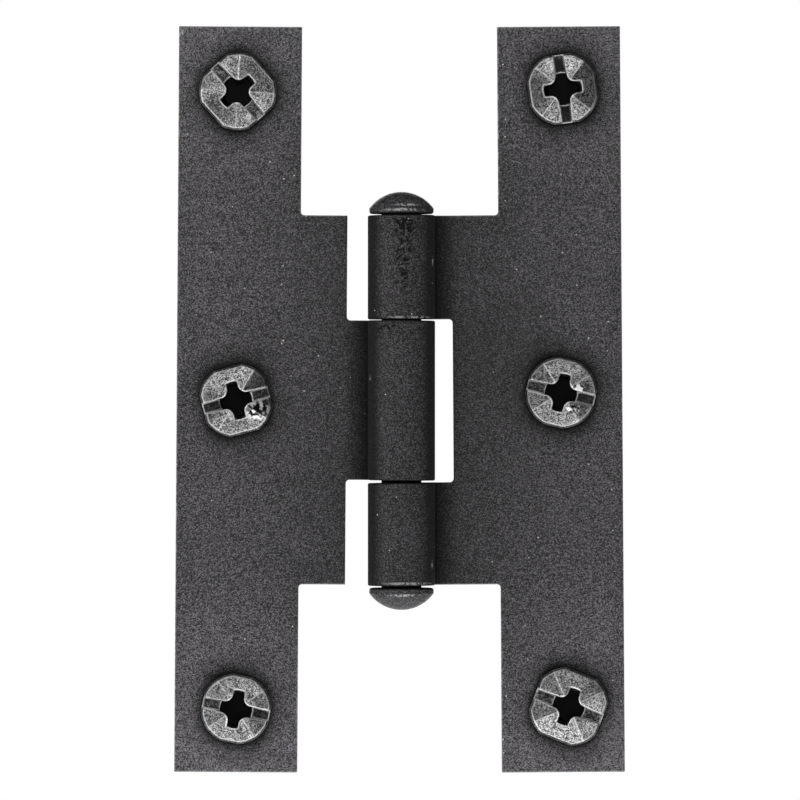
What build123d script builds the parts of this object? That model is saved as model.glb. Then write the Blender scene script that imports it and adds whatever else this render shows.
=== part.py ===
import os
from math import asin, degrees, hypot, isclose, radians, sqrt, tan

from build123d import *

# Seen from the front, X is to the right, Z is up along the pin, and Y runs back into the door.
# The origin lies on the mounting plane, behind the pin and at the middle of the barrel.

# Sheet steel and the barrel rolled from it
sheet_t = 1.55
pin_r = 2.38
pin_clearance = 0.07
seam_gap = 0.15

# Leaf blanks, measured from the pin's axis; trim is the spare sheet that the outline cuts off
trim = 3.0
leaf_h = 88.9
band_h = 44.0
arm_w = 14.66
left_reach = 26.8
right_reach = 26.35
left_relief_gap = 2.58
right_relief_gap = 2.17
inner_corner_r = 0.45
outer_corner_r = 0.12
edge_r = 0.2

# Each leaf is rolled a little out of square, so the arms spread towards the foot
foot_spread = 0.38

# Knuckles
middle_knuckle_len = 19.0
upper_knuckle_gap = 0.15
lower_knuckle_gap = 0.3

# Domed pin heads
dome_r = 3.83
dome_h = 2.62
dome_cap_r = 4.7
dome_shoulder_r = 0.6
dome_lip_r = 0.3
upper_dome_gap = 0.17
lower_dome_gap = 0.28

# Wood screws
screw_len = 19.05
neck_r = 2.08
neck_len = 5.5
neck_runout = 0.6
core_r = 1.5
tip_len = 3.2
tip_r = 0.15
neck_clearance = 0.32
screw_end_margin = 7.65
head_side_h = 0.8
head_slope = 21.0
crown_w = 0.6
head_bevel = 0.28

# Drive recess: a cross, and a slot right across the head
cross_span = 4.65
cross_arm_w = 1.37
cross_corner_r = 0.95
cross_depth = 2.3
cross_end_slope = 20.0
slot_w = 1.25
slot_floor_h = 0.45

# Each screw as it was driven: how far it sits from the middle of its place, its slot's angle,
# and its head's half-widths over the ridges and over the flats
left_screws = {
    "upper": (-0.27, -0.13, -48.0, 4.6, 4.18),
    "middle": (-0.23, -0.13, 15.0, 4.4, 4.05),
    "lower": (0.01, -0.08, -11.6, 4.2, 4.05),
}
right_screws = {
    "upper": (0.44, 0.17, 97.4, 4.35, 4.1),
    "middle": (0.0, 0.8, -14.0, 4.25, 4.12),
    "lower": (0.66, 0.22, -22.0, 4.7, 4.25),
}

# Worked-out sizes
bore_r = pin_r + pin_clearance
barrel_r = bore_r + sheet_t
left_relief = barrel_r + left_relief_gap
right_relief = barrel_r + right_relief_gap
curl_angle = 270 + degrees(asin((bore_r - seam_gap) / barrel_r))
middle_knuckle = (-middle_knuckle_len / 2, middle_knuckle_len / 2)
upper_knuckle = (middle_knuckle_len / 2 + upper_knuckle_gap, band_h / 2)
lower_knuckle = (-band_h / 2, -middle_knuckle_len / 2 - lower_knuckle_gap)
end_row_z = leaf_h / 2 - screw_end_margin
row_z = {"upper": end_row_z, "middle": 0.0, "lower": -end_row_z}
screw_hole_r = neck_r + neck_clearance

# The leaves' own planes, drawn from the front; side is -1 for the left leaf and 1 for the right
left, right = -1, 1
leaf_plane = {side: Plane.XZ.moved(Rotation(0, 0, side * foot_spread)) for side in (left, right)}


def screw_seats(side, reach, screws):
    """Return the plane under each screw's head: Z out of the leaf, X along the slot."""
    front = leaf_plane[side].offset(sheet_t)
    arm_x = side * (reach - arm_w / 2)
    seats = []
    for row, (along_x, along_z, slot_angle, _, _) in screws.items():
        place = (arm_x + along_x, row_z[row] + along_z, 0)
        seats.append(front.moved(Location(place, (0, 0, slot_angle))))
    return seats


def rolled_section(side, flat_len):
    """Draw the sheet's end view: flat for flat_len, then rolled once round the pin."""
    pin_axis = (0, -barrel_r)
    with BuildSketch() as section:
        with BuildLine():
            outer = CenterArc(pin_axis, barrel_r, 90, side * curl_angle)
            inner = CenterArc(pin_axis, bore_r, 90, side * curl_angle)
            Line(outer @ 1, inner @ 1)
            Polyline(inner @ 0, (side * flat_len, -sheet_t), (side * flat_len, 0), outer @ 0)
        make_face()
    return section.sketch


def leaf_outline(side, reach, relief, knuckles):
    """Draw half an H from the front: the arm, the band, and a tab for each knuckle."""
    with BuildSketch() as outline:
        with Locations((side * (reach - arm_w / 2), 0)):
            Rectangle(arm_w, leaf_h)
        with Locations((side * (reach + relief) / 2, 0)):
            Rectangle(reach - relief, band_h)
        tab_w = relief + barrel_r + trim
        for low, high in knuckles:
            with Locations((side * (relief - tab_w / 2), (low + high) / 2)):
                Rectangle(tab_w, high - low)
        arm_corners = outline.vertices().filter_by(
            lambda v: isclose(abs(v.X), reach - arm_w) and abs(v.Y) < leaf_h / 2 - inner_corner_r
        )
        tab_corners = outline.vertices().filter_by(
            lambda v: isclose(abs(v.X), relief) and abs(v.Y) < band_h / 2 - inner_corner_r
        )
        fillet(arm_corners + tab_corners, inner_corner_r)
        arm_ends = outline.vertices().filter_by(lambda v: isclose(abs(v.Y), leaf_h / 2))
        fillet(arm_ends, outer_corner_r)
    return outline.sketch


def rim_edges(faces):
    """Pick the outer edges of the sheet's two flat faces, but not the lines where they start to curl."""
    flats = faces.filter_by(Axis.Y).sort_by(SortBy.AREA)[-2:]
    rim = flats[0].outer_wire().edges() + flats[1].outer_wire().edges()
    return rim.filter_by(lambda e: abs(e.center().X) > edge_r)


def rolled_leaf(side, reach, relief, knuckles, seats):
    """Make one leaf: the rolled sheet, cut to its outline, with a hole for each screw."""
    section = rolled_section(side, reach + trim)
    outline = leaf_outline(side, reach, relief, knuckles)
    with BuildPart() as leaf:
        with BuildSketch(Plane.XY.offset(-leaf_h / 2 - trim)):
            add(section)
        extrude(amount=leaf_h + 2 * trim)
        with BuildSketch(leaf_plane[side].offset(-trim)):
            add(outline)
        extrude(amount=2 * (barrel_r + trim), mode=Mode.INTERSECT)
        with BuildSketch(*seats):
            Circle(screw_hole_r)
        extrude(amount=-sheet_t - trim, mode=Mode.SUBTRACT)
        fillet(rim_edges(leaf.faces()), edge_r)
    return leaf.part


# Left leaf: one sheet, with the middle knuckle
left_seats = screw_seats(left, left_reach, left_screws)
left_leaf = rolled_leaf(left, left_reach, left_relief, [middle_knuckle], left_seats)
left_leaf.label = "left_leaf"

# Right leaf: one sheet, with the upper and the lower knuckle
right_seats = screw_seats(right, right_reach, right_screws)
right_leaf = rolled_leaf(right, right_reach, right_relief, [upper_knuckle, lower_knuckle], right_seats)
right_leaf.label = "right_leaf"


# Hinge pin: the shank through the three knuckles, and a domed head at each end
pin_top_z = band_h / 2 + upper_dome_gap
pin_foot_z = -band_h / 2 - lower_dome_gap
dome_side_h = dome_h - dome_cap_r + sqrt(dome_cap_r**2 - dome_r**2)
with BuildSketch() as upper_dome:
    with BuildLine():
        cap = RadiusArc((0, dome_h), (dome_r, dome_side_h), dome_cap_r)
        Polyline(cap @ 1, (dome_r, 0), (0, 0), cap @ 0)
    make_face()
    lip, shoulder = upper_dome.vertices().group_by(Axis.X)[-1].sort_by(Axis.Y)
    fillet(lip, dome_lip_r)
    fillet(shoulder, dome_shoulder_r)

lower_dome = mirror(upper_dome.sketch, about=Plane.XZ)
with BuildPart() as hinge_pin:
    with BuildSketch(Plane.XY.offset(pin_foot_z)):
        with Locations((0, -barrel_r)):
            Circle(pin_r)
    extrude(amount=pin_top_z - pin_foot_z)
    with BuildSketch(Plane.XZ.offset(barrel_r)):
        with Locations((0, pin_top_z)):
            add(upper_dome.sketch)
        with Locations((0, pin_foot_z)):
            add(lower_dome)
    revolve(axis=Axis((0, -barrel_r, 0), (0, 0, 1)))

hinge_pin.part.label = "hinge_pin"


def drive_recess(seat, crown_h, ridge_r):
    """Make the tool that cuts a head's drive: a cross with sloping arm ends, and the slot."""
    floor = seat.offset(crown_h - cross_depth)
    end_run = tan(radians(cross_end_slope))
    mouth_drop = (cross_span - crown_w) / 2 * tan(radians(head_slope))
    floor_r = cross_span / 2 - (cross_depth - mouth_drop) * end_run
    rise = cross_depth + head_side_h
    mouth_r = floor_r + rise * end_run
    with BuildPart() as recess:
        with BuildSketch(floor) as cross:
            Rectangle(2 * mouth_r, cross_arm_w)
            Rectangle(cross_arm_w, 2 * mouth_r)
            fillet(cross.vertices().group_by(SortBy.DISTANCE)[0], cross_corner_r)
        extrude(amount=rise)
        with BuildSketch(floor):
            Circle(floor_r)
        with BuildSketch(floor.offset(rise)):
            Circle(mouth_r)
        loft(mode=Mode.INTERSECT)
        with BuildSketch(seat.offset(slot_floor_h)):
            Rectangle(2 * (ridge_r + trim), slot_w)
        extrude(amount=crown_h)
    return recess.part


def head_rim(edges, seat, flat_r):
    """Pick the edges where a head's sloping faces meet its side."""

    def on_rim(edge):
        ends = [seat.to_local_coords(edge @ 0), seat.to_local_coords(edge @ 1)]
        return all(end.Z > head_side_h / 2 and hypot(end.X, end.Y) > flat_r - head_bevel for end in ends)

    return edges.filter_by(Axis(seat.origin, seat.z_dir), reverse=True).filter_by(on_rim)


def wood_screw(seat, ridge_r, flat_r):
    """Make one screw with a low four-sided head, its ridges halfway between the cross's arms."""
    crown_h = head_side_h + (flat_r - crown_w / 2) * tan(radians(head_slope))
    foot_w = crown_w + 2 * crown_h / tan(radians(head_slope))
    recess = drive_recess(seat, crown_h, ridge_r)
    side_view = Plane(seat.origin, seat.x_dir, -seat.y_dir)
    with BuildPart() as screw:
        with BuildSketch(seat):
            Circle(ridge_r)
            Rectangle(2 * flat_r, 2 * flat_r, mode=Mode.INTERSECT)
        extrude(amount=crown_h)
        with BuildSketch(seat):
            Rectangle(foot_w, foot_w)
        with BuildSketch(seat.offset(crown_h)):
            Rectangle(crown_w, crown_w)
        loft(mode=Mode.INTERSECT)
        chamfer(head_rim(screw.edges(), seat, flat_r), head_bevel)
        add(recess, mode=Mode.SUBTRACT)
        with BuildSketch(side_view):
            with BuildLine():
                Polyline(
                    (0, 0),
                    (neck_r, 0),
                    (neck_r, -neck_len),
                    (core_r, -neck_len - neck_runout),
                    (core_r, tip_len - screw_len),
                    (tip_r, -screw_len),
                    (0, -screw_len),
                    close=True,
                )
            make_face()
        revolve(axis=Axis(seat.origin, seat.z_dir))
    return screw.part


# Wood screws: three in each leaf
left_set = [wood_screw(seat, *fit[3:]) for seat, fit in zip(left_seats, left_screws.values())]
right_set = [wood_screw(seat, *fit[3:]) for seat, fit in zip(right_seats, right_screws.values())]
with BuildPart() as left_leaf_screws:
    add(left_set)

with BuildPart() as right_leaf_screws:
    add(right_set)

left_leaf_screws.part.label = "left_leaf_screws"
right_leaf_screws.part.label = "right_leaf_screws"


os.makedirs("parts", exist_ok=True)
export_step(left_leaf, "parts/left_leaf.step")
export_step(right_leaf, "parts/right_leaf.step")
export_step(hinge_pin.part, "parts/hinge_pin.step")
export_step(left_leaf_screws.part, "parts/left_leaf_screws.step")
export_step(right_leaf_screws.part, "parts/right_leaf_screws.step")
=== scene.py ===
"""Looks of an H hinge: its finishes, its screws' threads, and a plain white studio."""

from math import cos, pi, radians, sin, tan

import bmesh
import bpy
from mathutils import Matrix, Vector


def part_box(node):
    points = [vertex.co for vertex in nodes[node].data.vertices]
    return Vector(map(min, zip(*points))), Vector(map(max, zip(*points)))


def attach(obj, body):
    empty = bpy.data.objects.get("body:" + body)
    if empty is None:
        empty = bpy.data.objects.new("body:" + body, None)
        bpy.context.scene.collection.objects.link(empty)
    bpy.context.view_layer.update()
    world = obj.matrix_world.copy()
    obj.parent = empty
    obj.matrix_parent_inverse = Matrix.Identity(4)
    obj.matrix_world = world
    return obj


# The frame, and the box of everything in it
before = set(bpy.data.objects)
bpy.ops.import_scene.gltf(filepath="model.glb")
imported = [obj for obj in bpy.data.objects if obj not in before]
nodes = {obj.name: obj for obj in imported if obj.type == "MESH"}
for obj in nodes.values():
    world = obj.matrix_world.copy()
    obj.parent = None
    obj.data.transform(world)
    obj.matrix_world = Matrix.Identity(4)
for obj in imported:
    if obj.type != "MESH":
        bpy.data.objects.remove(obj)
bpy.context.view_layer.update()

MM = 0.001

# Camera: straight at the front, through a long lens
PICTURE_W = 95.36 * MM
PICTURE_CENTRE = Vector((-0.17 * MM, 0.0, 0.05 * MM))
CAMERA_DISTANCE = 0.9
SENSOR_W = 36.0
CLIP_START = 0.01
CLIP_END = 10.0

# The leaves' front face, which the camera sees
FRONT_Y = -1.55 * MM

# Screw threads, on the screws' own cores
NECK_LEN = 5.5 * MM
CORE_R = 1.5 * MM
CREST_R = 2.08 * MM
SCREW_LEN = 19.05 * MM
TIP_LEN = 3.2 * MM
TIP_R = 0.15 * MM
THREAD_PITCH = 1.69 * MM
THREAD_FLANK = 30.0
THREAD_CREST_W = 0.08 * MM
THREAD_SINK = 0.06 * MM
THREAD_END = 0.25 * MM
THREAD_TURN_STEPS = 40
THREAD_FADE_TURNS = 0.6
THREAD_TIP_LOSS = 0.65

# How screw tips are found and told apart: their ends' flatness, and a height that parts them
TIP_FLATNESS = 0.01 * MM
SCREW_ROW = 10 * MM

# Marks in the coating, seen from the front: each one's centre and half-widths, in mm
DARK_MARKS = (
    ((0.4, 20.7), (2.2, 1.5)),
    ((0.3, 17.4), (1.3, 2.9)),
    ((0.3, 14.4), (0.6, 1.6)),
    ((-1.6, 8.6), (1.6, 0.5)),
)
# Thin marks lying across the barrel, on its domes and knuckle rims, are painted highlights. The
# rest are chips of bare steel
CHIP_AND_HIGHLIGHT_MARKS = (
    ((3.72, 16.5), (0.12, 0.7)),
    ((-3.72, 2.7), (0.12, 0.4)),
    ((3.65, -19.4), (0.12, 0.6)),
    ((-26.3, 43.6), (0.5, 0.8)),
    ((0.8, -21.7), (3.4, 0.2)),
    ((0.9, 9.85), (2.9, 0.2)),
    ((0.6, 23.2), (1.8, 0.18)),
    ((0.3, 22.6), (2.6, 0.2)),
    ((0.2, -23.1), (2.4, 0.18)),
)

# Painted shade on the right leaf, between the barrel and the middle screw, and the tone it leaves
RIGHT_LEAF_SHADE = ((13.6, 5.5), (6.5, 9.5))
RIGHT_LEAF_SHADE_SHARE = 0.75

# Facets of the screw heads painted darker as shade, or brighter as a highlight, than the rest,
# given in the same way
FACET_SHADE_SHARE = 0.45
SHADED_FACETS = (
    ((16.2, 36.8), (1.7, 2.8)),
    ((-16.7, -37.4), (1.6, 2.8)),
    ((22.0, 0.2), (1.4, 2.3)),
    ((-22.6, -0.8), (1.4, 2.2)),
    ((-16.8, 0.8), (1.5, 2.6)),
    ((-21.8, 34.8), (2.0, 2.0)),
)
FACET_HIGHLIGHT_SHARE = 1.5
HIGHLIT_FACETS = (
    ((22.8, -37.3), (1.7, 2.6)),
    ((20.0, -33.5), (3.0, 1.6)),
    ((17.2, -35.6), (1.6, 2.2)),
    ((18.9, 40.2), (2.6, 1.5)),
    ((-17.4, 34.6), (1.8, 1.8)),
    ((19.6, 3.9), (2.4, 1.4)),
)

# Places where the drive bit has torn the steel, whose curls are painted with their shade and
# highlights
TORN_STEEL = (
    ((20.8, 1.4), (1.3, 0.7)),
    ((20.4, -1.0), (1.0, 0.6)),
    ((-17.1, -1.1), (1.7, 1.5)),
)

# The head whose slot is packed with dirt, and the tone that the dirt leaves
PACKED_SLOT = ((19.2, 37.1), (6.5, 6.5))
PACKED_SHARE = 0.1

# Part of a mark's half-width at which it starts to fade, and its rim
MARK_FADE = (0.55, 1.0)

# Samples of the nodes that look round a point
OCCLUSION_SAMPLES = 3
EDGE_SAMPLES = 4

# Sizes of the noises and cells in the finishes, and the middle of what a noise gives
GRAIN_MM = 0.1
CLOUD_MM = 5.0
BLOT_MM = 0.45
LOOP_MM = 0.75
SPECK_MM = 1.4
DIMPLE_MM = 0.22
STEEL_PIT_MM = 0.25
STEEL_FILM_MM = 1.5
CRACK_MM = 1.8
SCRAPE_MM = 0.35
TEAR_MM = 0.6
NOISE_MIDDLE = 0.5

# Greys of the coating and of what lies on it or shows through: the darkest also serves for painted
# shade, and bare steel's also for painted highlights. The palest grains have a little less green
COATING = (0.495, 0.469, 0.502, 1.0)
DARK_AND_SHADE_GREY = 0.001
PIT_GREY = 0.002
BARE_AND_HIGHLIGHT_GREY = 0.42
SPECK_GREY = 0.9

# Greys of the screws' steel, with painted shade in cavities and torn curls, and painted highlights
# on torn curls and edges
STEEL_DARK = 0.02
STEEL_PALE = 0.62
CAVITY_SHADE_GREY = 0.006
TORN_SHADE_GREY = 0.01
TORN_HIGHLIGHT_GREY = 0.95
EDGE_HIGHLIGHT_GREY = 1.0

# Ramps: over the range of the first two numbers, the result goes from the third to the fourth.
# Where only two are given, it goes from 0 to 1, or as the code says. The coating's tone, by place:
# painted light, paler towards the arms' rims, top and foot
PAINTED_LIGHT_RIMS = (4.5 * MM, 27 * MM, 0.57, 1.1)
PAINTED_LIGHT_TOP = (26 * MM, 45 * MM, 0.0, 0.49)
PAINTED_LIGHT_FOOT = (-20 * MM, -45 * MM, 0.0, 0.72)
GRAIN_CONTRAST = (0.6, 1.6, 2.8, 1.4)
CLOUDS = (0.3, 0.7, 0.148, 0.164)
# Where the barrel's sides are painted with shade: how far across they lie, and which way they face
FLANK_SHADE_ACROSS = (4.3 * MM, 4.4 * MM)
FLANK_SHADE_FACING = (0.6, 0.9)

# Painted shade in the seam beside the barrel: its front and back in depth, and its reach from the
# middle
SEAM_SHADE_FRONT = (-2.6 * MM, -2.2 * MM)
SEAM_SHADE_BACK = (-1.2 * MM, -1.4 * MM)
SEAM_SHADE_REACH = (4.0 * MM, 4.3 * MM, 1.0, 0.0)
SEAM_SHADE_SHARE = 0.1

# Pits, chips, specks and painted highlights, by how their noises or cells run, and by which way
# the surface faces
IN_FRONT = (-0.1, -0.3)
PIT_LOOPS = (0.08, 0.055)
CHIP_BLOTS = (0.46, 0.51)
FLECK_BLOTS = (0.5, 0.62)
SPECK_SIZE = (0.04, 0.07, 1.0, 0.0)
SPECK_CHANCE = (0.5, 0.55)
RIM_OUTER = (-0.97, -0.9)
RIM_INNER = (-0.35, -0.5)
RIM_DEPTH = (FRONT_Y - 0.02 * MM, FRONT_Y)
# Rims that face up or down are painted with a highlight
HIGHLIT_RIMS = (0.3, 0.6, 0.15, 0.5)

# Painted shade in creases and round the screw heads: the tone it leaves, and how far the painted
# shade of sheltered places reaches
CREASE_SHADE_TONE = 0.04
SHELTER_SHADE_MM = 14.0
SHELTER_SHADE = (0.6, 1.0, 0.5, 1.0)

# Gloss and relief of the coating
GRAIN_POLISH = (0.0, 1.0, 0.45, 0.62)
COATING_SPECULAR = 0.33
PIT_RELIEF = 1.5
DIMPLE_DEPTH = 0.06 * MM
DIMPLE_STRENGTH = 0.6

# The steel's tone: speckle, pits, film and cracks, and the slots with painted shade along their
# walls, and scrapes
STEEL_CONTRAST = 1.3
STEEL_PITS = (0.33, 0.41, 0.1, 1.0)
STEEL_FILM = (0.35, 0.65, 0.7, 1.0)
CRACKS = (0.006, 0.02, 0.35, 1.0)
SLOT_DEPTH = (FRONT_Y - 0.5 * MM, FRONT_Y - 0.46 * MM)
SLOT_WALL_SHADE_MM = 0.45
SLOT_WALL_SHADE = (0.55, 1.0, 0.15, 0.85)
SLOT_SCRAPES = (0.42, 0.58, 0.35, 1.75)

# Where the steel is a head's outside, a cavity painted with shade, or the screw behind the leaf
HEAD_DEPTH = (FRONT_Y - 0.5 * MM, FRONT_Y - 0.3 * MM, 1.0, 0.0)
BEHIND_DEPTH = (0.0, 0.1 * MM)
OPEN_AIR_MM = 3.0
OPEN_AIR = (0.4, 0.8)

# Torn steel with its painted shade and highlights, painted highlights on bare edges, and the
# steel's roughness and relief
TEAR_SHADES = (0.47, 0.43)
TEAR_HIGHLIGHTS = (0.5, 0.54)
EDGE_RADIUS = 0.3 * MM
EDGE_HIGHLIGHT_TURN = (0.98, 0.93)
STEEL_ROUGHNESS = (0.36, 0.64, 0.46, 0.34)
EDGE_ROUGHNESS = 0.5
STEEL_PIT_DEPTH = 0.03 * MM
STEEL_PIT_STRENGTH = 0.4

# Painted shade on the barrel's sides: what the leaves' coating keeps of its tone there, and the
# pin's on its own.
# Painted shade in creases: how far the outlook leans up, its reach in mm, and the outlooks of a
# full one and none
LEAF_FLANK_SHADE = 0.22
LEAF_CREASE_SHADES = ((-0.5, 3.0, (0.64, 0.94)), (0.5, 3.2, (0.62, 0.94)))
PIN_FLANK_SHADE = 1.0
PIN_CREASE_SHADES = ((0.0, 3.0, (0.62, 0.98)),)

# Lamps: each one's name, place, aim, size, level, and whether the hinge mirrors it. Soft boxes
# in front, bright narrow ones close to the hinge's two ends, and fills at its sides
MIDDLE = (0.0, 0.0, 0.0)
LAMPS = (
    ("top_box", (-0.055, -0.105, 0.112), MIDDLE, (0.08, 0.11), 1.45, True),
    ("upper_box", (0.0, -0.14, 0.085), MIDDLE, (0.12, 0.07), 0.35, True),
    ("foot_box", (0.045, -0.105, -0.112), MIDDLE, (0.08, 0.11), 1.45, True),
    ("top_strip", (0.0, -0.022, 0.070), (0.0, 0.0, 0.035), (0.07, 0.012), 1.9, True),
    ("foot_strip", (0.0, -0.022, -0.070), (0.0, 0.0, -0.035), (0.07, 0.012), 3.65, True),
    ("left_box", (-0.095, -0.095, 0.0), MIDDLE, (0.05, 0.15), 0.45, True),
    ("left_low", (-0.120, -0.050, 0.0), MIDDLE, (0.04, 0.15), 2.2, True),
    ("right_low", (0.085, -0.110, -0.060), MIDDLE, (0.06, 0.06), 0.4, True),
    ("front", (0.0, -0.6, 0.3), MIDDLE, (0.3, 0.3), 3.0, True),
    ("back_box", (-0.05, 0.55, 0.1), MIDDLE, (0.3, 0.3), 3.0, True),
    ("left_fill", (-0.40, 0.14, 0.06), MIDDLE, (0.2, 0.3), 4.5, False),
    ("right_fill", (0.40, 0.14, 0.06), MIDDLE, (0.2, 0.3), 4.5, False),
)

# Light of the dim room round the hinge, and the cone behind it in which metal shows the backdrop
ROOM_LEVEL = 0.05
BACKDROP_CONE = (0.9, 0.97)

# Floor, under the hinge and its lamps, and out of the camera's view. Its glow grows outwards
FLOOR_Z = -160.0 * MM
FLOOR_HALF = 1.5
FLOOR_GREY = 0.8
FLOOR_ROUGHNESS = 0.9
FLOOR_GLOW = (0.3, 0.7, 0.4, 1.0)


def add_node(tree, kind, inputs=None, **settings):
    """Add a node to the tree, with its settings, and its inputs as values or as links."""
    node = tree.nodes.new(kind)
    for name, value in settings.items():
        setattr(node, name, value)
    for name, value in (inputs or {}).items():
        if isinstance(value, bpy.types.NodeSocket):
            tree.links.new(value, node.inputs[name])
        else:
            node.inputs[name].default_value = value
    return node


def math(tree, operation, *values):
    """Add a Math node and return its output."""
    node = add_node(tree, "ShaderNodeMath", dict(enumerate(values)), operation=operation)
    return node.outputs[0]


def joined(tree, operation, values):
    """Join values by a chain of Math nodes, in the order given."""
    result = values[0]
    for value in values[1:]:
        result = math(tree, operation, result, value)
    return result


def times(tree, *values):
    """Multiply values."""
    return joined(tree, "MULTIPLY", values)


def highest(tree, *values):
    """Return the highest value, which also joins masks into one."""
    return joined(tree, "MAXIMUM", values)


def vector_math(tree, operation, *values):
    """Add a Vector Math node and return its outputs."""
    inputs = dict(enumerate(values))
    return add_node(tree, "ShaderNodeVectorMath", inputs, operation=operation).outputs


def between(tree, value, low, high, to_low=0.0, to_high=1.0):
    """Turn the range low to high into to_low to to_high, and keep what is outside at its ends."""
    inputs = {
        "Value": value,
        "From Min": low,
        "From Max": high,
        "To Min": to_low,
        "To Max": to_high,
    }
    return add_node(tree, "ShaderNodeMapRange", inputs).outputs["Result"]


def share_in(tree, mask, share):
    """Return this share inside the mask, and 1 outside it."""
    return between(tree, mask, 0.0, 1.0, 1.0, share)


def noise(tree, place, grain_mm, detail=2.0, roughness=0.5):
    """Add noise whose grains are about grain_mm across."""
    inputs = {
        "Vector": place,
        "Scale": 1 / (grain_mm * MM),
        "Detail": detail,
        "Roughness": roughness,
    }
    return add_node(tree, "ShaderNodeTexNoise", inputs).outputs["Fac"]


def off_middle(tree, value):
    """Return how far noise is from its middle, which is 0 along thin loops and lines."""
    return math(tree, "ABSOLUTE", math(tree, "SUBTRACT", value, NOISE_MIDDLE))


def random_cells(tree, place, cell_mm):
    """Add cells about cell_mm across: a random number for each, and the distance to its middle."""
    inputs = {"Vector": place, "Scale": 1 / (cell_mm * MM)}
    cells = add_node(tree, "ShaderNodeTexVoronoi", inputs).outputs
    number = add_node(tree, "ShaderNodeSeparateXYZ", {0: cells["Color"]}).outputs["X"]
    return number, cells["Distance"]


def mix_colour(tree, share, first, second):
    """Mix two colours, which are each a tuple or a link."""
    node = add_node(tree, "ShaderNodeMix", data_type="RGBA")
    sockets = node.inputs[0], node.inputs[6], node.inputs[7]
    for socket, value in zip(sockets, (share, first, second)):
        if isinstance(value, bpy.types.NodeSocket):
            tree.links.new(value, socket)
        else:
            socket.default_value = value
    return node.outputs[2]


def grey(level):
    """Return a grey colour, from 0, black, to 1, white."""
    return (level, level, level, 1.0)


def occlusion(tree, reach_mm, normal=None):
    """Add ambient occlusion: 1 in the open, less in creases and recesses."""
    inputs = {"Distance": reach_mm * MM}
    if normal is not None:
        inputs["Normal"] = normal
    kind = "ShaderNodeAmbientOcclusion"
    return add_node(tree, kind, inputs, samples=OCCLUSION_SAMPLES).outputs["AO"]


def leaning_normal(tree, lean):
    """Add the surface's normal, leaning up by this much, or down where it is below 0."""
    outward = add_node(tree, "ShaderNodeNewGeometry").outputs["Normal"]
    leaning = vector_math(tree, "ADD", outward, (0.0, 0.0, lean))["Vector"]
    return vector_math(tree, "NORMALIZE", leaning)["Vector"]


def spot(tree, place, centre_mm, half_mm):
    """Mark an oval on the front, of this centre and these half-widths in X and Z: 1 inside."""
    x, z = centre_mm
    half_x, half_z = half_mm
    moved = vector_math(tree, "ADD", place, (-x * MM, 0.0, -z * MM))["Vector"]
    stretch = (1 / (half_x * MM), 0.0, 1 / (half_z * MM))
    scaled = vector_math(tree, "MULTIPLY", moved, stretch)["Vector"]
    reach = vector_math(tree, "LENGTH", scaled)["Value"]
    return between(tree, reach, *MARK_FADE, 1.0, 0.0)


def spots(tree, place, marks):
    """Mark several ovals on the front."""
    return highest(tree, *(spot(tree, place, centre, half) for centre, half in marks))


def start_material(name):
    """Make a material and return it with its tree, its shader and the place on the object."""
    material = bpy.data.materials.new(name)
    material.use_nodes = True
    tree = material.node_tree
    shader = tree.nodes["Principled BSDF"]
    place = add_node(tree, "ShaderNodeTexCoord").outputs["Object"]
    return material, tree, shader, place


def film_tone(tree, place, facing, grain, flank_shade):
    """Tone of the coating's film, and the share of it that is left at the barrel's sides as
    painted shade.

    The film has fine grain and faint clouds. Painted light makes it paler towards the arms' rims
    and ends, and painted shade darkens the seam beside the barrel and a patch of the right leaf.
    """
    along = add_node(tree, "ShaderNodeSeparateXYZ", {0: place}).outputs
    across = math(tree, "ABSOLUTE", along["X"])
    # Painted light: the coating is paler towards the top, the foot and the arms' rims
    top = between(tree, along["Z"], *PAINTED_LIGHT_TOP)
    foot = between(tree, along["Z"], *PAINTED_LIGHT_FOOT)
    rims = between(tree, across, *PAINTED_LIGHT_RIMS)
    painted_light = math(tree, "ADD", rims, math(tree, "ADD", top, foot))

    # Painted shade on the barrel's sides, and in the seam beside it
    barrel_side_shade = between(tree, across, *FLANK_SHADE_ACROSS, flank_shade, 1.0)
    painted_flank_shade = between(tree, math(tree, "ABSOLUTE", facing), *FLANK_SHADE_FACING, barrel_side_shade, 1.0)
    seam_shade = times(
        tree,
        between(tree, along["Y"], *SEAM_SHADE_FRONT),
        between(tree, along["Y"], *SEAM_SHADE_BACK),
        between(tree, across, *SEAM_SHADE_REACH),
    )
    painted_flank_shade = times(tree, painted_flank_shade, share_in(tree, seam_shade, SEAM_SHADE_SHARE))

    # The grain: a power of random numbers, times the power plus 1, which keeps their mean
    contrast = between(tree, painted_light, *GRAIN_CONTRAST)
    speckle = math(tree, "POWER", grain, contrast)
    cloud = noise(tree, place, CLOUD_MM, detail=3.0)
    tone = times(
        tree,
        speckle,
        math(tree, "ADD", contrast, 1.0),
        between(tree, cloud, *CLOUDS),
        painted_light,
        painted_flank_shade,
        # A patch of painted shade on the right leaf
        share_in(tree, spot(tree, place, *RIGHT_LEAF_SHADE), RIGHT_LEAF_SHADE_SHARE),
    )
    return tone, painted_flank_shade


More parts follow.
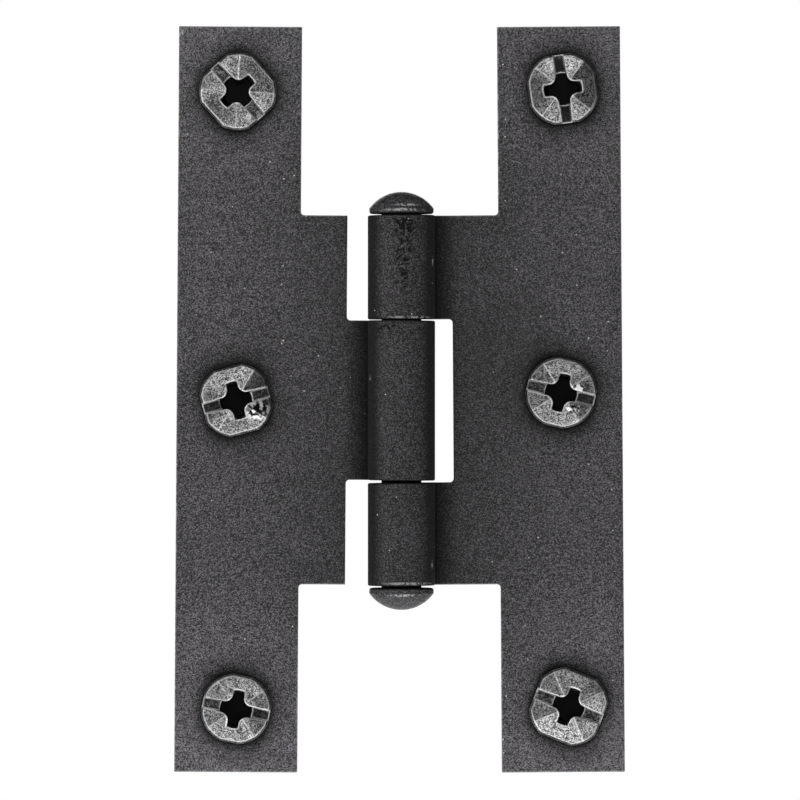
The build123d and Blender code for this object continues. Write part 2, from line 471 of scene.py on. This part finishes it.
def bare_and_highlit_places(tree, place, normal, in_front):
    """Mark bare steel at chips and in a broken line along the sheets' rims, and painted
    highlights: thin lines across the barrel, and the rims that face up or down.
    """
    facing = normal["Y"]
    blots = noise(tree, place, BLOT_MM, detail=3.0, roughness=0.7)
    chips_and_highlights = times(
        tree,
        spots(tree, place, CHIP_AND_HIGHLIGHT_MARKS),
        between(tree, blots, *CHIP_BLOTS),
        in_front,
    )
    depth = add_node(tree, "ShaderNodeSeparateXYZ", {0: place}).outputs["Y"]
    # Painted highlight on the rims that face up or down, besides worn flecks
    wear_and_highlight = highest(
        tree,
        between(tree, blots, *FLECK_BLOTS),
        between(tree, math(tree, "ABSOLUTE", normal["Z"]), *HIGHLIT_RIMS),
    )
    flecks_and_highlights = times(
        tree,
        between(tree, facing, *RIM_OUTER),
        between(tree, facing, *RIM_INNER),
        between(tree, depth, *RIM_DEPTH),
        wear_and_highlight,
    )
    return highest(tree, chips_and_highlights, flecks_and_highlights)


def crease_shade_share(tree, crease_shades):
    """Share of its tone that the coating keeps in creases, such as round the screw heads, as
    painted shade, by the darkest of these outlooks.
    """
    shares = []
    for lean, reach_mm, outlooks in crease_shades:
        outlook = occlusion(tree, reach_mm, leaning_normal(tree, lean))
        shares.append(between(tree, outlook, *outlooks, CREASE_SHADE_TONE, 1.0))
    return joined(tree, "MINIMUM", shares)


def coating_material(name, flank_shade, crease_shades):
    """Black coating, baked on steel: fine-grained and matt, with specks and pits. Painted light
    makes its rims and ends paler, and painted shade darkens its creases and the barrel's sides.

    The flank share is painted shade: the share of its tone that the coating keeps on the barrel's
    sides.
    Each crease of painted shade is how far its outlook leans up, how far it reaches, and the
    outlooks of a full crease and of none.
    """
    material, tree, shader, place = start_material(name)
    normal = add_node(tree, "ShaderNodeTexCoord").outputs["Normal"]
    normal = add_node(tree, "ShaderNodeSeparateXYZ", {0: normal}).outputs
    in_front = between(tree, normal["Y"], *IN_FRONT)
    grain, _ = random_cells(tree, place, GRAIN_MM)

    # The film itself, with its painted light and shade, and pits in thin loops where the knuckles
    # were worked
    tone, painted_flank_shade = film_tone(tree, place, normal["Y"], grain, flank_shade)
    base = mix_colour(tree, tone, grey(DARK_AND_SHADE_GREY), COATING)
    loops = off_middle(tree, noise(tree, place, LOOP_MM, detail=1.0))
    worked = spots(tree, place, DARK_MARKS)
    pitted = times(tree, worked, between(tree, loops, *PIT_LOOPS), in_front)
    base = mix_colour(tree, pitted, base, grey(PIT_GREY))

    # Bare steel and painted highlights, and pale specks anywhere
    bare_and_highlit = bare_and_highlit_places(tree, place, normal, in_front)
    base = mix_colour(tree, bare_and_highlit, base, grey(BARE_AND_HIGHLIGHT_GREY))
    number, distance = random_cells(tree, place, SPECK_MM)
    size = between(tree, distance, *SPECK_SIZE)
    speck = times(tree, size, between(tree, number, *SPECK_CHANCE))
    base = mix_colour(tree, speck, base, grey(SPECK_GREY))

    # Painted shade in creases and round the screw heads, and painted shade close to the barrel
    crease_shade = crease_shade_share(tree, crease_shades)
    shelter_shade = between(tree, occlusion(tree, SHELTER_SHADE_MM), *SHELTER_SHADE)
    base = mix_colour(tree, times(tree, crease_shade, shelter_shade), grey(DARK_AND_SHADE_GREY), base)
    tree.links.new(base, shader.inputs["Base Color"])

    # Gloss, which the painted shade in creases and on the barrel's sides and the pits lack, and
    # relief
    polish = times(
        tree,
        crease_shade,
        between(tree, grain, *GRAIN_POLISH),
        math(tree, "SUBTRACT", 1.0, pitted),
        painted_flank_shade,
    )
    tree.links.new(math(tree, "SUBTRACT", 1.0, polish), shader.inputs["Roughness"])
    shader.inputs["Specular IOR Level"].default_value = COATING_SPECULAR
    dimples = noise(tree, place, DIMPLE_MM, detail=1.0)
    relief = {
        "Height": math(tree, "SUBTRACT", dimples, times(tree, pitted, PIT_RELIEF)),
        "Distance": DIMPLE_DEPTH,
        "Strength": DIMPLE_STRENGTH,
    }
    bump = add_node(tree, "ShaderNodeBump", relief)
    tree.links.new(bump.outputs["Normal"], shader.inputs["Normal"])
    return material


def steel_tone(tree, place, depth, pits):
    """Tone of the steel: speckled, pitted and cracked, with painted shade and painted highlights
    by facet, and dark in the slots, with painted shade along their walls, scrapes, and dirt in
    one.
    """
    grain, _ = random_cells(tree, place, GRAIN_MM)
    film = noise(tree, place, STEEL_FILM_MM)
    ridges = off_middle(tree, noise(tree, place, CRACK_MM))
    in_slot = between(tree, depth, *SLOT_DEPTH)
    # Painted shade along the slots' walls
    wall_shade = between(tree, occlusion(tree, SLOT_WALL_SHADE_MM), *SLOT_WALL_SHADE)
    scrapes = between(tree, noise(tree, place, SCRAPE_MM), *SLOT_SCRAPES)
    packed = times(tree, in_slot, spot(tree, place, *PACKED_SLOT))
    return times(
        tree,
        math(tree, "POWER", grain, STEEL_CONTRAST),
        between(tree, pits, *STEEL_PITS),
        between(tree, film, *STEEL_FILM),
        between(tree, ridges, *CRACKS),
        # Painted shade and painted highlights on single facets
        share_in(tree, spots(tree, place, SHADED_FACETS), FACET_SHADE_SHARE),
        share_in(tree, spots(tree, place, HIGHLIT_FACETS), FACET_HIGHLIGHT_SHARE),
        share_in(tree, in_slot, times(tree, wall_shade, scrapes)),
        share_in(tree, packed, PACKED_SHARE),
    )


def steel_material():
    """Blackened steel of the screws: metallic, speckled and pitted, with painted highlights on
    bare edges and painted shade in recesses.
    """
    material, tree, shader, place = start_material("dark_steel")
    depth = add_node(tree, "ShaderNodeSeparateXYZ", {0: place}).outputs["Y"]
    pits = noise(tree, place, STEEL_PIT_MM, detail=1.0)
    tone = steel_tone(tree, place, depth, pits)
    base = mix_colour(tree, tone, grey(STEEL_DARK), grey(STEEL_PALE))

    # Painted shade: the recesses, and the heads' parts hemmed in by the leaf, are dark. The heads'
    # open outside and the screws behind the leaves aren't
    head = between(tree, depth, *HEAD_DEPTH)
    open_air = between(tree, occlusion(tree, OPEN_AIR_MM), *OPEN_AIR)
    outside = highest(tree, times(tree, head, open_air), between(tree, depth, *BEHIND_DEPTH))
    base = mix_colour(tree, outside, grey(CAVITY_SHADE_GREY), base)

    # Torn steel: bare, with its curls painted with shade and highlights
    tears = noise(tree, place, TEAR_MM)
    torn = times(tree, spots(tree, place, TORN_STEEL), head)
    for ramp, level in ((TEAR_SHADES, TORN_SHADE_GREY), (TEAR_HIGHLIGHTS, TORN_HIGHLIGHT_GREY)):
        base = mix_colour(tree, times(tree, torn, between(tree, tears, *ramp)), base, grey(level))

    # Painted highlights on bare edges, where a rounded normal turns from the true one
    rounded = add_node(tree, "ShaderNodeBevel", {"Radius": EDGE_RADIUS}, samples=EDGE_SAMPLES)
    rounded = rounded.outputs["Normal"]
    true_normal = add_node(tree, "ShaderNodeNewGeometry").outputs["Normal"]
    turn = vector_math(tree, "DOT_PRODUCT", rounded, true_normal)["Value"]
    edge_highlight = times(tree, between(tree, turn, *EDGE_HIGHLIGHT_TURN), head)
    base = mix_colour(tree, edge_highlight, base, grey(EDGE_HIGHLIGHT_GREY))
    tree.links.new(base, shader.inputs["Base Color"])

    shader.inputs["Metallic"].default_value = 1.0
    wear_and_highlight = times(tree, edge_highlight, EDGE_ROUGHNESS)
    roughness = highest(tree, between(tree, pits, *STEEL_ROUGHNESS), wear_and_highlight)
    tree.links.new(roughness, shader.inputs["Roughness"])
    relief = {
        "Height": pits,
        "Distance": STEEL_PIT_DEPTH,
        "Strength": STEEL_PIT_STRENGTH,
        "Normal": rounded,
    }
    bump = add_node(tree, "ShaderNodeBump", relief)
    tree.links.new(bump.outputs["Normal"], shader.inputs["Normal"])
    return material


def screw_axes(node):
    """Find where each screw's axis runs, from the flat ends of its tips."""
    tip_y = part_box(node)[1].y
    ends = [v.co for v in nodes[node].data.vertices if v.co.y > tip_y - TIP_FLATNESS]
    rows = {}
    for point in ends:
        rows.setdefault(round(point.z / SCREW_ROW), []).append(point)
    return [sum(points, Vector()) / len(points) for _, points in sorted(rows.items())]


def thread_profile(narrowing, fade):
    """Section of the thread: each corner's distance from the axis, and its place along it."""
    core = CORE_R + (TIP_R - CORE_R) * narrowing
    height = (CREST_R - CORE_R) * (1 - THREAD_TIP_LOSS * narrowing) * fade
    half_foot = (height + THREAD_SINK) * tan(radians(THREAD_FLANK)) + THREAD_CREST_W / 2
    return (
        (core - THREAD_SINK, -half_foot),
        (core + height, -THREAD_CREST_W / 2),
        (core + height, THREAD_CREST_W / 2),
        (core - THREAD_SINK, half_foot),
    )


def thread(mesh, axis):
    """Add one screw's thread: a ridge wound round the core, from behind the neck to the tip."""
    start_y, end_y = FRONT_Y + NECK_LEN, FRONT_Y + SCREW_LEN - THREAD_END
    cone_y = FRONT_Y + SCREW_LEN - TIP_LEN
    turns = (end_y - start_y) / THREAD_PITCH
    steps = round(turns * THREAD_TURN_STEPS)
    rings = []
    for i in range(steps + 1):
        turn = turns * i / steps
        y = start_y + turn * THREAD_PITCH
        narrowing = max(0.0, (y - cone_y) / TIP_LEN)
        fade = min(1.0, turn / THREAD_FADE_TURNS, (turns - turn) / THREAD_FADE_TURNS)
        angle = 2 * pi * turn
        outward = Vector((cos(angle), 0.0, sin(angle)))
        centre = Vector((axis.x, y, axis.z))
        corners = [
            centre + outward * r + Vector((0, dy, 0)) for r, dy in thread_profile(narrowing, fade)
        ]
        rings.append([mesh.verts.new(corner) for corner in corners])
    for ring, following in zip(rings, rings[1:]):
        for j in range(len(ring)):
            k = (j + 1) % len(ring)
            mesh.faces.new((ring[j], ring[k], following[k], following[j]))
    mesh.faces.new(rings[0][::-1])
    mesh.faces.new(rings[-1])


def screw_threads(name, node, body, material):
    """Make the threads of one leaf's screws as one piece."""
    mesh = bmesh.new()
    for axis in screw_axes(node):
        thread(mesh, axis)
    bmesh.ops.recalc_face_normals(mesh, faces=mesh.faces)
    data = bpy.data.meshes.new(name)
    mesh.to_mesh(data)
    mesh.free()
    data.materials.append(material)
    piece = bpy.data.objects.new(name, data)
    bpy.context.scene.collection.objects.link(piece)
    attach(piece, body)


def soft_lamp(name, place, aim, size, level, in_mirrors):
    """Add a rectangular lamp of this brightness, which faces the aim and isn't itself seen."""
    light = bpy.data.lights.new(name, "AREA")
    light.shape = "RECTANGLE"
    light.size, light.size_y = size
    light.energy = level * size[0] * size[1] * pi
    lamp = bpy.data.objects.new(name, light)
    lamp.location = place
    lamp.rotation_euler = (Vector(aim) - Vector(place)).to_track_quat("-Z", "Y").to_euler()
    lamp.visible_camera = False
    lamp.visible_glossy = in_mirrors
    bpy.context.scene.collection.objects.link(lamp)


# Finishes of the frame's own nodes
coating = coating_material("black_coating", LEAF_FLANK_SHADE, LEAF_CREASE_SHADES)
pin_coating = coating_material("pin_coating", PIN_FLANK_SHADE, PIN_CREASE_SHADES)
steel = steel_material()
for name, material in (
    ("left_leaf", coating),
    ("right_leaf", coating),
    ("hinge_pin", pin_coating),
    ("left_leaf_screws", steel),
    ("right_leaf_screws", steel),
):
    slots = nodes[name].data.materials
    slots.clear()
    slots.append(material)

screw_threads("left_threads", "left_leaf_screws", "left_side", steel)
screw_threads("right_threads", "right_leaf_screws", "right_side", steel)

for lamp in LAMPS:
    soft_lamp(*lamp)

# World: dim in front of the hinge, and a white backdrop behind it and wherever the camera looks
world = bpy.data.worlds.new("studio")
bpy.context.scene.world = world
world.use_nodes = True
tree = world.node_tree
backdrop = tree.nodes["Background"]
direction = add_node(tree, "ShaderNodeTexCoord").outputs["Generated"]
along = add_node(tree, "ShaderNodeSeparateXYZ", {0: direction}).outputs
path = add_node(tree, "ShaderNodeLightPath").outputs
mirrored = times(tree, path["Is Glossy Ray"], between(tree, along["Y"], *BACKDROP_CONE))
seen = highest(tree, path["Is Camera Ray"], path["Is Transmission Ray"], mirrored)
tree.links.new(math(tree, "MAXIMUM", seen, ROOM_LEVEL), backdrop.inputs["Strength"])
backdrop.inputs["Color"].default_value = grey(1.0)

# Floor
floor_mesh = bpy.data.meshes.new("floor")
signs = ((-1, -1), (1, -1), (1, 1), (-1, 1))
corners = [(x * FLOOR_HALF, y * FLOOR_HALF, FLOOR_Z) for x, y in signs]
floor_mesh.from_pydata(corners, [], [(0, 1, 2, 3)])
floor_material, tree, shader, place = start_material("floor")
shader.inputs["Base Color"].default_value = grey(FLOOR_GREY)
shader.inputs["Roughness"].default_value = FLOOR_ROUGHNESS
shader.inputs["Emission Color"].default_value = grey(1.0)
away = vector_math(tree, "LENGTH", place)["Value"]
path = add_node(tree, "ShaderNodeLightPath").outputs
seen = highest(tree, path["Is Camera Ray"], path["Is Transmission Ray"], path["Is Glossy Ray"])
glow = times(tree, seen, between(tree, away, *FLOOR_GLOW))
tree.links.new(glow, shader.inputs["Emission Strength"])
floor_mesh.materials.append(floor_material)
floor = bpy.data.objects.new("floor", floor_mesh)
bpy.context.scene.collection.objects.link(floor)

# Camera
camera_data = bpy.data.cameras.new("camera")
camera_data.sensor_width = SENSOR_W
camera_data.lens = SENSOR_W * CAMERA_DISTANCE / PICTURE_W
camera_data.clip_start = CLIP_START
camera_data.clip_end = CLIP_END
camera = bpy.data.objects.new("camera", camera_data)
camera.location = PICTURE_CENTRE + Vector((0.0, FRONT_Y - CAMERA_DISTANCE, 0.0))
camera.rotation_euler = (radians(90.0), 0.0, 0.0)
bpy.context.scene.collection.objects.link(camera)
bpy.context.scene.camera = camera
bpy.context.scene.view_settings.view_transform = "Standard"
